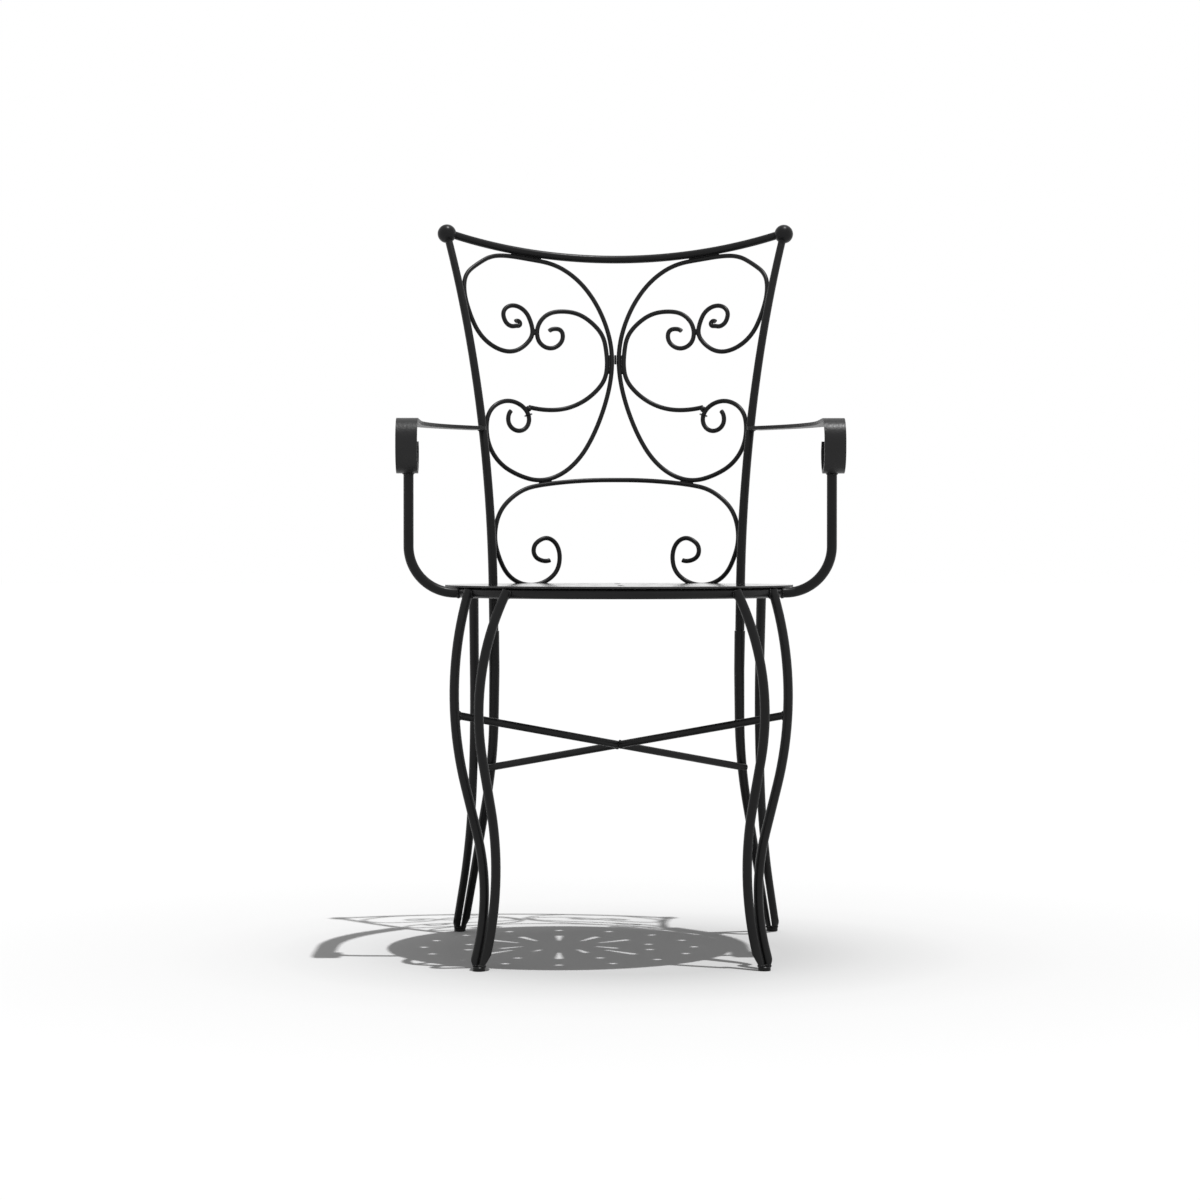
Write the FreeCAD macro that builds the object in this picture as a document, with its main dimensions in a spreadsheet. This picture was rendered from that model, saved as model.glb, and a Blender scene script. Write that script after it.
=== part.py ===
# Garden armchair bent and welded from round steel bar, with a perforated disc seat.
# Millimetres, +Z up, the front faces -Y, the chair is symmetric about X = 0.
# The origin is on the floor, under the middle of the bounding box.
import FreeCAD, Part
import Sketcher
import math
import os
from FreeCAD import Placement, Rotation, Vector

doc = FreeCAD.newDocument("garden_armchair")
sheet = doc.addObject("Spreadsheet::Sheet", "sizes")

# Driving dimensions: name, value, meaning. Y values are measured from the seat's centre.
SIZES = [
    ("weld_gap", 0.15, "clearance left at every welded joint"),
    ("seat_diameter", 420, "outside of the seat disc"),
    ("seat_height", 444.5, "top of the seat disc above the floor"),
    ("plate_thickness", 2.4, "seat sheet"),
    ("plate_edge_round", 0.6, "rounding of the disc's rim"),
    ("ring_tube", 12, "bar of the ring under the seat"),
    ("ring_inset", 0.1, "disc rim beyond the ring's outside"),
    ("rim_hole_reach", 165.4, "radius of the outer circle of holes"),
    ("rim_hole_size", 9, "round holes of the outer circle"),
    ("rim_hole_count", 16, "holes in the outer circle"),
    ("motif_count", 14, "positions in the inner motif"),
    ("motif_reach", 111, "radius of the outer ends of the motif"),
    ("motif_start", 65, "radius of the inner ends of the long slots"),
    ("front_slot_start", 55, "radius of the inner end of the front slot"),
    ("slot_wide", 9, "outer end of a tapered slot"),
    ("short_slot_wide", 7.2, "outer end of a short slot"),
    ("slot_narrow", 3, "inner end of a tapered slot"),
    ("leg_tube", 11.2, "bar of the front legs"),
    ("rear_tube", 12, "rear outer leg at the ring"),
    ("rear_tip", 9.6, "rear legs at the floor"),
    ("socket_tube", 13.5, "rear inner leg's top, which holds the upright"),
    ("socket_depth", 40, "depth of the bore in the rear inner leg"),
    ("socket_end_room", 1.5, "room under the upright's reduced end"),
    ("spigot_size", 9.4, "reduced end of the upright"),
    ("spigot_gap", 0.15, "clearance round the reduced end"),
    ("socket_top_height", 385, "top of the rear inner leg"),
    ("foot_size", 14.6, "diameter of a foot disc"),
    ("foot_height", 5, "height of a foot disc"),
    ("foot_edge", 0.8, "chamfer of a foot disc"),
    ("foot_trim_size", 13.6, "width to which the leg ends are ground at the foot disc"),
    ("foot_trim_rise", 12, "height over which the leg ends are ground"),
    ("foot_trim_spread", 13, "growth in width over that height"),
    ("front_foot_x", 165, "front foot from the middle"),
    ("front_foot_y", -170, "front foot from the seat's centre"),
    ("front_pair_lean", 3.2, "front bars' aim outside the foot's middle"),
    ("front_pair_turn", 25, "degrees from the X axis across the front pair of bars"),
    ("front_pair_gap", 0.5, "clearance between the front bars' ends"),
    ("rear_foot_x", 199.3, "rear foot from the middle"),
    ("rear_foot_y", 205, "rear foot from the seat's centre"),
    ("rear_pair_lean", 1.3, "rear bars' aim outside the foot's middle"),
    ("rear_pair_turn", -10, "degrees from the X axis across the rear pair of bars"),
    ("rear_pair_gap", 1.1, "clearance between the rear bars' ends"),
    ("outer_leg_bearing", -31.95, "degrees from the X axis to the front outer leg's top"),
    ("outer_knee_out", 44, "front outer leg's knee outside its foot"),
    ("outer_knee_back", 24, "front outer leg's knee behind its foot"),
    ("outer_knee_height", 324.6, "front outer leg's knee above the floor"),
    ("outer_knee_bend", 384, "bend radius of that knee"),
    ("outer_ankle_in", 13.8, "front outer leg's ankle inside its foot"),
    ("outer_ankle_back", 31, "front outer leg's ankle behind its foot"),
    ("outer_ankle_height", 88.3, "front outer leg's ankle above the floor"),
    ("outer_ankle_bend", 244, "bend radius of that ankle"),
    ("inner_leg_bearing", -50.8, "degrees from the X axis to the front inner leg's top"),
    ("inner_knee_out", 12.4, "front inner leg's knee outside its foot"),
    ("inner_knee_front", 14, "front inner leg's knee in front of its foot"),
    ("inner_knee_height", 344.2, "front inner leg's knee above the floor"),
    ("inner_knee_bend", 350, "bend radius of that knee"),
    ("inner_ankle_in", 29.1, "front inner leg's ankle inside its foot"),
    ("inner_ankle_back", 23, "front inner leg's ankle behind its foot"),
    ("inner_ankle_height", 92.6, "front inner leg's ankle above the floor"),
    ("inner_ankle_bend", 329, "bend radius of that ankle"),
    ("rear_leg_bearing", 28.95, "degrees from the X axis to the rear outer leg's top"),
    ("rear_leg_sink", 4, "rear outer leg's top below the ring's centre"),
    ("rear_knee_in", 20.6, "rear outer leg's knee inside its foot"),
    ("rear_knee_front", 47, "rear outer leg's knee in front of its foot"),
    ("rear_knee_height", 270, "rear outer leg's knee above the floor"),
    ("rear_knee_bend", 350, "bend radius of that knee"),
    ("rear_ankle_in", 15.8, "rear outer leg's ankle inside its foot"),
    ("rear_ankle_front", 53, "rear outer leg's ankle in front of its foot"),
    ("rear_ankle_height", 124.8, "rear outer leg's ankle above the floor"),
    ("rear_ankle_bend", 1260, "bend radius of that ankle"),
    ("socket_run", 10, "straight run below the bore"),
    ("socket_bend", 60, "bend radius below that run"),
    ("socket_knee_in", 43.7, "rear inner leg's knee inside its foot"),
    ("socket_knee_front", 42, "rear inner leg's knee in front of its foot"),
    ("socket_knee_height", 220.8, "rear inner leg's knee above the floor"),
    ("socket_knee_bend", 1400, "bend radius of that knee"),
    ("stretcher_size", 9, "bar of the crossed stretchers"),
    ("stretcher_front_height", 295, "stretcher end on the front leg"),
    ("stretcher_rear_height", 212.2, "stretcher end on the rear leg"),
    ("stretcher_overlap", 3.4, "stretcher end past the rear leg's middle line"),
    ("upright_base", 11.6, "upright at the seat"),
    ("upright_tip", 9.6, "upright at the ball"),
    ("upright_bearing", 44, "degrees from the X axis to the upright at the ring"),
    ("upright_splay", 31.1, "degrees the upright leans outward from straight back"),
    ("upright_start", 433, "height where the upright's curve begins"),
    ("upright_low_lean", 32, "lean of the upright at half height"),
    ("upright_top_lean", 119.1, "lean of the upright at the ball"),
    ("back_height", 893.3, "centre of the balls above the floor"),
    ("ball_size", 24, "balls on the uprights"),
    ("ball_bore_gap", 0.3, "clearance round the upright in the ball"),
    ("rail_tube", 10.2, "bar of the top rail"),
    ("rail_lift", 1.4, "top rail's ends above the balls' centres"),
    ("rail_dip", 28.65, "top rail's middle below the balls"),
    ("rail_bow", 47, "top rail's middle behind the balls"),
    ("rod_size", 5.8, "bar of the scrolls"),
    ("scroll_rest", 88, "lower scroll's place on the seat's rim, from the middle"),
    ("scroll_sink", 2.2, "lower scroll's lowest centre below the seat's top"),
    ("panel_behind", 4.5, "scroll panel behind the uprights and the rail"),
    ("lower_panel_height", 133.6, "rise of the lower scroll above that"),
    ("spacer_width", 3, "gap between the tall scrolls at the middle"),
    ("spacer_height", 12, "height of the piece in that gap"),
    ("collar_wall", 2.2, "breadth of the small collars round the rod"),
    ("collar_length", 1.2, "thickness of the small collars"),
    ("collar_drop", 10.5, "collar below the inner scroll's end"),
    ("hook_bend", 3.5, "bend radius of the tall scroll's end"),
    ("arm_height", 642.1, "top of the armrest"),
    ("arm_width", 25.4, "width of the armrest bar"),
    ("arm_thickness", 4.5, "thickness of the armrest bar"),
    ("arm_reach", 251.3, "middle of the armrest from the middle of the chair"),
    ("arm_turn_y", 72, "where the armrest's straight runs would meet"),
    ("arm_bend", 235, "bend radius of the armrest in plan"),
    ("arm_end_round", 5, "rounded corners of the armrest's rear end"),
    ("curl_y", -88, "middle of the armrest's curl"),
    ("curl_bend", 27, "outer bend radius of the curl"),
    ("curl_drop", 7, "straight run in the curl's front"),
    ("curl_inner_bend", 22, "bend radius of the curl's rising end"),
    ("curl_tip_bend", 14, "bend radius of the curl's tip"),
    ("curl_tip_turn", 60, "degrees that the curl's tip turns"),
    ("post_tube", 12, "bar of the arm post"),
    ("post_inset", 1, "arm post inside the armrest's middle line"),
    ("post_y", -80, "arm post from the seat's centre"),
    ("post_bend", 55, "bend radius of the arm post"),
]
row = 1
for alias, value, meaning in SIZES:
    sheet.set("A%d" % row, alias)
    sheet.set("B%d" % row, str(value))
    sheet.set("C%d" % row, meaning)
    sheet.setAlias("B%d" % row, alias)
    row += 1
doc.recompute()


def size(alias):
    return float(sheet.get(alias))


gap = size("weld_gap")
plate_radius = size("seat_diameter") / 2
plate_under = size("seat_height") - size("plate_thickness")
ring_bar = size("ring_tube") / 2
ring_radius = plate_radius - size("ring_inset") - ring_bar
ring_height = plate_under - gap - ring_bar
foot_top = size("foot_height") + gap
rod_bar = size("rod_size") / 2
UP = Vector(0, 0, 1)
MIDDLE = Vector(0, 0, 0)
ACROSS = Vector(1, 0, 0)


# Bars: a path of lines and arcs, and a round section swept along it.
def bent_path(points, bends):
    edges = []
    start = points[0]
    for number in range(1, len(points) - 1):
        corner = points[number]
        back = points[number - 1] - corner
        ahead = points[number + 1] - corner
        room_back = back.Length if number == 1 else back.Length / 2
        room_ahead = ahead.Length if number == len(points) - 2 else ahead.Length / 2
        half = back.getAngle(ahead) / 2
        run = min(bends[number - 1] / math.tan(half), 0.97 * room_back, 0.97 * room_ahead)
        back.normalize()
        ahead.normalize()
        radius = run * math.tan(half)
        inward = back + ahead
        inward.normalize()
        middle = corner + inward * (radius / math.sin(half) - radius)
        bend_start = corner + back * run
        bend_end = corner + ahead * run
        edges.append(Part.LineSegment(start, bend_start).toShape())
        edges.append(Part.Arc(bend_start, middle, bend_end).toShape())
        start = bend_end
    edges.append(Part.LineSegment(start, points[-1]).toShape())
    return Part.Wire(edges)


def disc_wire(centre, direction, radius):
    return Part.Wire(Part.Circle(centre, direction, radius).toShape())


def path_start(path):
    edge = path.OrderedEdges[0]
    at = edge.FirstParameter
    return edge.valueAt(at), edge.tangentAt(at)


def path_end(path):
    edge = path.OrderedEdges[-1]
    at = edge.LastParameter
    return edge.valueAt(at), edge.tangentAt(at)


def bar(path, diameter, end_diameter=None):
    centre, direction = path_start(path)
    sections = [disc_wire(centre, direction, diameter / 2)]
    if end_diameter:
        centre, direction = path_end(path)
        sections.append(disc_wire(centre, direction, end_diameter / 2))
    return path.makePipeShell(sections, True, False)


def at_height(path, height):
    points = path.discretize(Number=400)
    return min(points, key=lambda point: abs(point.z - height))


def largest(shape):
    solids = sorted(shape.Solids, key=lambda solid: solid.Volume)
    return solids[-1]


def mirrored(shape):
    return shape.mirror(MIDDLE, ACROSS)


# The uprights: an arc in a plane turned outward, begun on the ring's outside.
bearing = math.radians(size("upright_bearing"))
splay = math.radians(size("upright_splay"))
upright_base = size("upright_base")
upright_tip = size("upright_tip")
upright_start = size("upright_start")
back_height = size("back_height")
upright_centre = plate_radius + gap + upright_base / 2
outward = Vector(math.sin(splay), math.cos(splay), 0)
upright_foot = Vector(upright_centre * math.cos(bearing), upright_centre * math.sin(bearing), upright_start)
half_rise = (back_height - upright_start) / 2
upright_middle = upright_foot + outward * size("upright_low_lean") + UP * half_rise
ball_centre = upright_foot + outward * size("upright_top_lean") + UP * 2 * half_rise
upright_arc = Part.Arc(upright_foot, upright_middle, ball_centre)
upright_path = Part.Wire(upright_arc.toShape())
arc_first = upright_arc.FirstParameter
arc_last = upright_arc.LastParameter


def upright_at(height):
    low = arc_first
    high = arc_last
    for step in range(40):
        middle = (low + high) / 2
        if upright_arc.value(middle).z < height:
            low = middle
        else:
            high = middle
    return upright_arc.value(low)


def upright_bar(height):
    share = (height - upright_start) / (back_height - upright_start)
    return (upright_base + (upright_tip - upright_base) * share) / 2


# The top rail: an arc from ball to ball through a lower point further back.
rail_bar = size("rail_tube") / 2
rail_middle = Vector(0, ball_centre.y + size("rail_bow"), back_height - size("rail_dip"))
rail_right = ball_centre + UP * size("rail_lift")
rail_left = Vector(-rail_right.x, rail_right.y, rail_right.z)
rail_arc = Part.Arc(rail_left, rail_middle, rail_right)
rail_path = Part.Wire(rail_arc.toShape())

# The scroll panel: a bowed surface between the uprights, from the back of the seat's rim up to the rail.
panel_foot = size("seat_height") - size("scroll_sink")
rest_x = size("scroll_rest")
rest_radius = plate_radius + gap + rod_bar
rest_y = math.sqrt(rest_radius ** 2 - rest_x ** 2)
panel_behind = size("panel_behind")
panel_edge = upright_at(panel_foot)
panel_bow = (rest_y - panel_edge.y - panel_behind) / (1 - (rest_x / panel_edge.x) ** 2)
panel_top_bow = rail_middle.y - upright_at(rail_middle.z).y


def on_panel(across, height):
    edge = upright_at(height)
    share = (height - panel_foot) / (rail_middle.z - panel_foot)
    bow = panel_bow + (panel_top_bow - panel_bow) * share
    return Vector(across, edge.y + panel_behind + bow * (1 - (across / edge.x) ** 2), height)


def spread(point, path):
    return Part.Vertex(point).distToShape(path)[0]


def panel_side(height):
    # the rod's furthest place outward, resting against the upright
    wanted = upright_bar(height) + rod_bar + gap
    high = upright_at(height).x
    low = high - 4 * wanted
    for step in range(24):
        middle = (low + high) / 2
        if spread(on_panel(middle, height), upright_path) > wanted:
            low = middle
        else:
            high = middle
    return low


def panel_top(across):
    # the rod's highest place, resting against the rail's underside
    wanted = rail_bar + rod_bar + gap
    high = rail_middle.z + (rail_right.z - rail_middle.z) * (across / rail_right.x) ** 2
    low = high - 4 * wanted
    for step in range(24):
        middle = (low + high) / 2
        if spread(on_panel(across, middle), rail_path) > wanted:
            low = middle
        else:
            high = middle
    return low


# Rod centres: the lower scroll's lowest and highest, and the tall scroll's resting on the lower one.
lower_rise = size("lower_panel_height")
rest_share = 0.951
rest_on_scroll = panel_foot + rest_share * lower_rise + 2 * rod_bar + gap
inner_side = size("spacer_width") / 2 + rod_bar


# Upper scrolls: share 0 at the middle and 1 at the upright, 0 on the lower scroll and 1 at the rail.
def upper_point(side_share, rise_share):
    across = inner_side + side_share * (upright_at(rest_on_scroll).x - inner_side)
    for step in range(5):
        height = rest_on_scroll + rise_share * (panel_top(across) - rest_on_scroll)
        across = inner_side + side_share * (panel_side(height) - inner_side)
    return on_panel(across, height)


# Lower scroll: share 0 at the middle and 1 at the upright, 0 at the seat's rim and 1 at its top.
def lower_point(side_share, rise_share):
    height = panel_foot + rise_share * lower_rise
    return on_panel(side_share * panel_side(height), height)


TALL_SCROLL = [
    (0.724, 0.681), (0.760, 0.724), (0.734, 0.758), (0.683, 0.774), (0.618, 0.762),
    (0.573, 0.702), (0.572, 0.659), (0.623, 0.608), (0.739, 0.566), (0.844, 0.573),
    (0.940, 0.619), (0.989, 0.703), (0.995, 0.802), (0.958, 0.871), (0.871, 0.930),
    (0.770, 0.978), (0.659, 0.997), (0.532, 0.999), (0.383, 0.989), (0.239, 0.932),
    (0.130, 0.841), (0.049, 0.727), (0.009, 0.626), (0.000, 0.556), (0.011, 0.463),
    (0.063, 0.335), (0.150, 0.210), (0.271, 0.101), (0.433, 0.026), (0.604, 0.000),
    (0.776, 0.022), (0.918, 0.074), (0.987, 0.143), (0.997, 0.216), (0.957, 0.290),
    (0.875, 0.333), (0.801, 0.345), (0.725, 0.335), (0.669, 0.303), (0.659, 0.262),
    (0.702, 0.224), (0.764, 0.217), (0.812, 0.238), (0.819, 0.270), (0.794, 0.301),
]
INNER_SCROLL = [
    (0.447, 0.678), (0.411, 0.689), (0.366, 0.683), (0.355, 0.655), (0.383, 0.619),
    (0.456, 0.598), (0.521, 0.617), (0.538, 0.661), (0.509, 0.714), (0.435, 0.758),
    (0.341, 0.773), (0.242, 0.766), (0.136, 0.723), (0.067, 0.664), (0.042, 0.593),
    (0.037, 0.537), (0.060, 0.463), (0.123, 0.410), (0.226, 0.361), (0.365, 0.326),
    (0.504, 0.316), (0.651, 0.324),
]
LOWER_SCROLL = [
    (0.555, 0.233), (0.617, 0.229), (0.679, 0.279), (0.681, 0.364), (0.635, 0.422),
    (0.574, 0.443), (0.514, 0.407), (0.480, 0.333), (0.473, 0.245), (0.496, 0.141),
    (0.569, 0.050), (0.684, 0.000), (0.807, 0.018), (0.912, 0.111), (0.970, 0.250),
    (0.998, 0.396), (0.988, 0.556), (0.939, 0.703), (0.844, 0.827), (0.728, 0.911),
    (0.607, 0.948), (0.486, 0.969), (0.299, 0.990), (0.128, 0.999),
]
HOOK_PLACE = (0.669, 0.696)
HOOK_TURNS = [50, 160, 270]
SPACER_RISE = 0.556


def curve_through(points, first_tangent=None):
    curve = Part.BSplineCurve()
    if first_tangent:
        free = len(points) - 1
        tangents = [first_tangent] + [Vector(0, 0, 0)] * free
        curve.interpolate(Points=points, Tangents=tangents, TangentFlags=[True] + [False] * free)
    else:
        curve.interpolate(Points=points)
    return curve


def corner_arc(start, corner, end):
    # an arc tangent to start-corner and corner-end, which are equally long
    back = start - corner
    ahead = end - corner
    half = back.getAngle(ahead) / 2
    if half > math.radians(89.9):
        return Part.LineSegment(start, end).toShape()
    radius = back.Length * math.tan(half)
    inward = back + ahead
    inward.normalize()
    middle = corner + inward * (radius / math.sin(half) - radius)
    return Part.Arc(start, middle, end).toShape()


def arc_chain(curve, points):
    # the curve as tangent arcs, two from each point to the next
    edges = []
    for start, end in zip(points, points[1:]):
        leave = curve.tangent(curve.parameter(start))[0]
        arrive = curve.tangent(curve.parameter(end))[0]
        run = end - start
        both = leave + arrive
        bend = 2 * (1 - leave.dot(arrive))
        if bend < 1e-6:
            reach = run.dot(run) / (4 * run.dot(arrive))
        else:
            reach = (math.sqrt(run.dot(both) ** 2 + bend * run.dot(run)) - run.dot(both)) / bend
        first_corner = start + leave * reach
        second_corner = end - arrive * reach
        joint = (first_corner + second_corner) / 2
        edges.append(corner_arc(start, first_corner, joint))
        edges.append(corner_arc(joint, second_corner, end))
    return edges


def hook(side_share, rise_share):
    # the small closed bend at the tall scroll's upper end, tangent to the panel
    centre = upper_point(side_share, rise_share)
    bend = size("hook_bend")
    along = on_panel(centre.x + 1, centre.z) - on_panel(centre.x - 1, centre.z)
    rise = on_panel(centre.x, centre.z + 1) - on_panel(centre.x, centre.z - 1)
    along.normalize()
    rise = rise - along * rise.dot(along)
    rise.normalize()
    points = []
    for turn in HOOK_TURNS:
        angle = math.radians(turn)
        points.append(centre + along * bend * math.cos(angle) + rise * bend * math.sin(angle))
    return Part.Arc(points[0], points[1], points[2]), points[2], along


hook_arc, hook_end, hook_direction = hook(*HOOK_PLACE)
tall_points = [hook_end]
for side_share, rise_share in TALL_SCROLL:
    tall_points.append(upper_point(side_share, rise_share))
tall_curve = curve_through(tall_points, hook_direction)
tall_path = Part.Wire([hook_arc.toShape()] + arc_chain(tall_curve, tall_points))
tall_scroll = bar(tall_path, 2 * rod_bar)

inner_points = []
for side_share, rise_share in INNER_SCROLL:
    inner_points.append(upper_point(side_share, rise_share))
inner_curve = curve_through(inner_points)
inner_scroll = bar(Part.Wire(arc_chain(inner_curve, inner_points)), 2 * rod_bar)

lower_right = []
for side_share, rise_share in LOWER_SCROLL:
    lower_right.append(lower_point(side_share, rise_share))
lower_middle = lower_point(0, 1)
lower_left = []
for point in reversed(lower_right):
    lower_left.append(Vector(-point.x, point.y, point.z))
lower_points = lower_right + [lower_middle] + lower_left
lower_curve = curve_through(lower_points)
lower_scroll = bar(Part.Wire(arc_chain(lower_curve, lower_points)), 2 * rod_bar)

# The small collar round the tall scroll, just below the inner scroll's end.
joint = inner_points[-1]
joint_at = tall_curve.parameter(joint - UP * size("collar_drop"))
collar_centre = tall_curve.value(joint_at)
collar_direction = tall_curve.tangent(joint_at)[0]
collar_start = collar_centre - collar_direction * (size("collar_length") / 2)
collar_bore = rod_bar + gap
collar_outer = Part.makeCylinder(
    collar_bore + size("collar_wall"), size("collar_length"), collar_start, collar_direction)
collar_inner = Part.makeCylinder(collar_bore, size("collar_length"), collar_start, collar_direction)
collar = collar_outer.cut(collar_inner)

# The upright with its reduced lower end, and the socket it stands in.
upright_direction = upright_arc.tangent(arc_first)[0]
straight_run = (upright_start - size("socket_top_height")) / upright_direction.z
straight_end = upright_foot - upright_direction * straight_run
spigot_length = size("socket_depth") - size("socket_end_room")
spigot_end = straight_end - upright_direction * spigot_length
upright_curved = bar(upright_path, upright_base, upright_tip)
upright_straight = Part.makeCylinder(
    upright_base / 2, (upright_foot - straight_end).Length, straight_end, upright_direction)
spigot = Part.makeCylinder(size("spigot_size") / 2, spigot_length, spigot_end, upright_direction)
ball_bore_radius = upright_tip / 2 + size("ball_bore_gap")
upright = upright_curved.fuse([upright_straight, spigot]).removeSplitter()
tip_direction = upright_arc.tangent(arc_last)[0]
ball_bore = Part.makeCylinder(
    ball_bore_radius, size("ball_size"), ball_centre + tip_direction * gap, tip_direction * -1)
ball = Part.makeSphere(size("ball_size") / 2, ball_centre).cut(ball_bore)
rail_whole = bar(rail_path, 2 * rail_bar)
ball_space = Part.makeSphere(size("ball_size") / 2 + gap, ball_centre)
top_rail = largest(rail_whole.cut([ball_space, mirrored(ball_space)]))


# Legs: polylines rounded by large bends, cut off level on the foot discs.
UNDER_FLOOR = 6
front_x = size("front_foot_x")
front_y = size("front_foot_y")
rear_x = size("rear_foot_x")
rear_y = size("rear_foot_y")
leg_size = size("leg_tube")
rear_tip = size("rear_tip")
front_foot = Vector(front_x, front_y, 0)
rear_foot = Vector(rear_x, rear_y, 0)
attach = ring_radius + ring_bar
front_top = ring_height + ring_bar / 2


def ring_point(bearing_name, radius, height):
    angle = math.radians(size(bearing_name))
    return Vector(radius * math.cos(angle), radius * math.sin(angle), height)


def pair_ends(foot, end, half_apart):
    # where the outer and the inner bar of a pair aim, just under the floor
    turn = math.radians(size(end + "_pair_turn"))
    middle = foot + Vector(size(end + "_pair_lean"), 0, -UNDER_FLOOR)
    step = Vector(half_apart * math.cos(turn), half_apart * math.sin(turn), 0)
    return middle + step, middle - step


def foot_trim(foot):
    # what lies round the cone to which the leg ends are ground
    rise = size("foot_trim_rise")
    low = size("foot_trim_size") / 2
    high = low + size("foot_trim_spread") / 2
    base = Vector(foot.x, foot.y, foot_top)
    block = Part.makeBox(4 * high, 4 * high, rise, base - Vector(2 * high, 2 * high, 0))
    return block.cut(Part.makeCone(low, high, rise, base))


def on_foot(shape, foot):
    # a leg cut off level above the foot disc, and ground to its width
    reach = 2 * plate_radius
    below = Part.makeBox(2 * reach, 2 * reach, reach, Vector(-reach, -reach, foot_top - reach))
    return largest(shape.cut([below, foot_trim(foot)]))


outer_end, inner_end = pair_ends(front_foot, "front", (leg_size + size("front_pair_gap")) / 2)
front_outer_path = bent_path(
    [
        ring_point("outer_leg_bearing", attach, front_top),
        front_foot + Vector(
            size("outer_knee_out"), size("outer_knee_back"), size("outer_knee_height")),
        front_foot + Vector(
            -size("outer_ankle_in"), size("outer_ankle_back"), size("outer_ankle_height")),
        outer_end,
    ],
    [size("outer_knee_bend"), size("outer_ankle_bend")])
front_inner_path = bent_path(
    [
        ring_point("inner_leg_bearing", attach, front_top),
        front_foot + Vector(
            size("inner_knee_out"), -size("inner_knee_front"), size("inner_knee_height")),
        front_foot + Vector(
            -size("inner_ankle_in"), size("inner_ankle_back"), size("inner_ankle_height")),
        inner_end,
    ],
    [size("inner_knee_bend"), size("inner_ankle_bend")])
rear_outer_end, rear_inner_end = pair_ends(rear_foot, "rear", (rear_tip + size("rear_pair_gap")) / 2)
rear_outer_path = bent_path(
    [
        ring_point("rear_leg_bearing", ring_radius, ring_height - size("rear_leg_sink")),
        rear_foot + Vector(
            -size("rear_knee_in"), -size("rear_knee_front"), size("rear_knee_height")),
        rear_foot + Vector(
            -size("rear_ankle_in"), -size("rear_ankle_front"), size("rear_ankle_height")),
        rear_outer_end,
    ],
    [size("rear_knee_bend"), size("rear_ankle_bend")])
rear_inner_path = bent_path(
    [
        straight_end - upright_direction * gap,
        straight_end - upright_direction * (size("socket_depth") + size("socket_run")),
        rear_foot + Vector(
            -size("socket_knee_in"), -size("socket_knee_front"), size("socket_knee_height")),
        rear_inner_end,
    ],
    [size("socket_bend"), size("socket_knee_bend")])

ring_space = Part.makeTorus(ring_radius, ring_bar + gap, Vector(0, 0, ring_height), UP)
front_outer = on_foot(bar(front_outer_path, leg_size).cut(ring_space), front_foot)
front_inner = on_foot(bar(front_inner_path, leg_size).cut(ring_space), front_foot)
rear_outer = on_foot(bar(rear_outer_path, size("rear_tube"), rear_tip).cut(ring_space), rear_foot)
socket_bore = Part.makeCylinder(
    size("spigot_size") / 2 + size("spigot_gap"), size("socket_depth") + gap, straight_end,
    upright_direction * -1)
rear_inner_bar = bar(rear_inner_path, size("socket_tube"), rear_tip)
rear_inner = on_foot(rear_inner_bar.cut(socket_bore), rear_foot)

# Crossed stretchers: one whole rod, and two halves ending on it. They end in front of the rear legs.
stretcher_bar = size("stretcher_size") / 2
stretcher_front = at_height(front_outer_path, size("stretcher_front_height"))
rear_centre = at_height(rear_inner_path, size("stretcher_rear_height"))


def mirror_point(point):
    return Vector(-point.x, point.y, point.z)


def straight_bar(start, end, radius):
    return Part.makeCylinder(radius, (end - start).Length, start, end - start)


def rear_end(front_step):
    return rear_centre + Vector(size("stretcher_overlap"), -front_step, 0)


def rod_to(front_step):
    return straight_bar(mirror_point(stretcher_front), rear_end(front_step), stretcher_bar)


def rear_contact():
    # how far in front of the rear leg's middle the rod's end is when it just clears the leg
    low = stretcher_bar
    high = 2 * size("socket_tube")
    for step in range(16):
        middle = (low + high) / 2
        if rod_to(middle).distToShape(rear_inner)[0] < gap:
            low = middle
        else:
            high = middle
    return high


stretcher_rear = rear_end(rear_contact())
front_space = bar(front_outer_path, leg_size + 2 * gap)
through_whole = straight_bar(mirror_point(stretcher_front), stretcher_rear, stretcher_bar)
through_rod = largest(through_whole.cut(mirrored(front_space)))
through_space = straight_bar(mirror_point(stretcher_front), stretcher_rear, stretcher_bar + gap)
half_whole = straight_bar(stretcher_front, mirror_point(stretcher_rear), stretcher_bar)
half_cut = half_whole.cut([front_space, through_space])
half_rods = sorted(half_cut.Solids, key=lambda solid: solid.Volume)[-2:]
half_rods = sorted(half_rods, key=lambda solid: solid.CenterOfMass.y)

# The armrest: a flat bar, curled down in front and bent inward in plan.
arm_thick = size("arm_thickness")
arm_level = size("arm_height") - arm_thick / 2
arm_x = size("arm_reach")
curl_y = size("curl_y")
arm_target = upright_at(arm_level)
arm_corner = Vector(arm_x, size("arm_turn_y"), arm_level)
arm_run = Vector(arm_target.x, arm_target.y, arm_level) - arm_corner
arm_stop = arm_run.Length - upright_bar(arm_level) - gap
arm_run.normalize()
arm_end = arm_corner + arm_run * arm_stop
plan_path = bent_path([Vector(arm_x, curl_y, arm_level), arm_corner, arm_end], [size("arm_bend")])


def strip_section(centre, along, level):
    # rectangle across a path: along is the bar's width direction, level its thickness direction
    wide = along * (size("arm_width") / 2)
    thick = level * (arm_thick / 2)
    corners = [centre - wide - thick, centre + wide - thick, centre + wide + thick, centre - wide + thick]
    return Part.makePolygon(corners + [corners[0]])


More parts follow.
